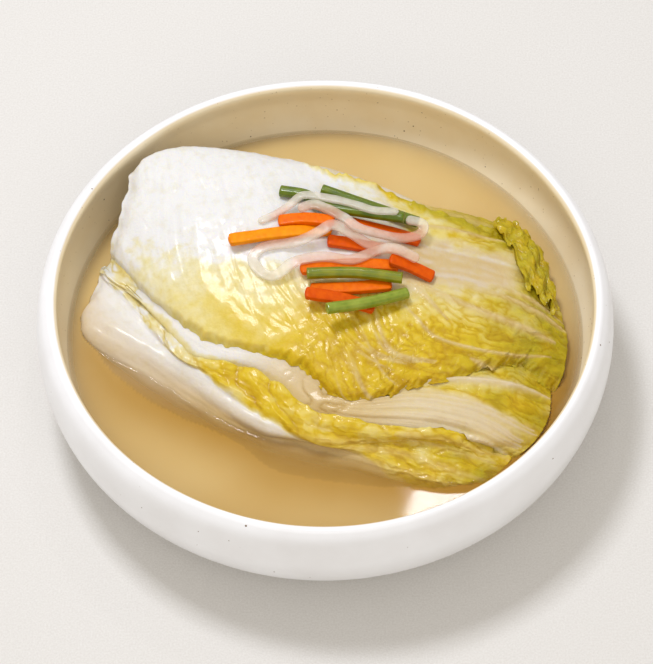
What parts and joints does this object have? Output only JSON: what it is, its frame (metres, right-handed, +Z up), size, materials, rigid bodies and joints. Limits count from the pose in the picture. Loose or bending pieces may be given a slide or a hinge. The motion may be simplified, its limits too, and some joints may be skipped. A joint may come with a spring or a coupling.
{
  "type": "white kimchi in a bowl",
  "caption": "Quarter of pickled napa cabbage in pale brine, topped with carrot, radish and green stem strips, in a round white stoneware bowl.",
  "frame": {"origin": "centre of the bowl's foot, on the surface it stands on", "axes": "+Z up along the bowl's axis; the cabbage lies along X, with its stem ends at -X and its leaf tips at +X"},
  "size_m": [0.2342, 0.2342, 0.0683],
  "materials": {
    "bowl_glaze": "satin white glaze with fine brown specks, sand-beige inside",
    "brine": "wet, cloudy, pale tan liquid",
    "cabbage_stem": "wet, smooth, white and slightly translucent",
    "cabbage_blade": "wet, crinkled, pale yellow",
    "cabbage_tip": "wet, frilled, yellow green",
    "carrot": "wet, cut, orange",
    "radish": "wet, translucent, white",
    "green_stem": "wet, smooth, green with fine lengthwise lines"
  },
  "bodies": {
    "root": {"bowl": "bowl_glaze", "brine": "brine", "cabbage_heart": "cabbage_blade", "leaf_front": "cabbage_stem", "leaf_second": "cabbage_stem", "leaf_back": "cabbage_stem", "leaf_cap": "cabbage_blade", "leaf_tip_curl": "cabbage_tip", "carrot_strip_1": "carrot", "carrot_strip_2": "carrot", "carrot_strip_3": "carrot", "carrot_strip_4": "carrot", "carrot_strip_5": "carrot", "carrot_strip_6": "carrot", "carrot_strip_7": "carrot", "carrot_strip_8": "carrot", "green_stem_1": "green_stem", "green_stem_2": "green_stem", "green_stem_3": "green_stem", "green_stem_4": "green_stem", "radish_strip_1": "radish", "radish_strip_2": "radish", "radish_strip_3": "radish"}
  },
  "joints": []
}
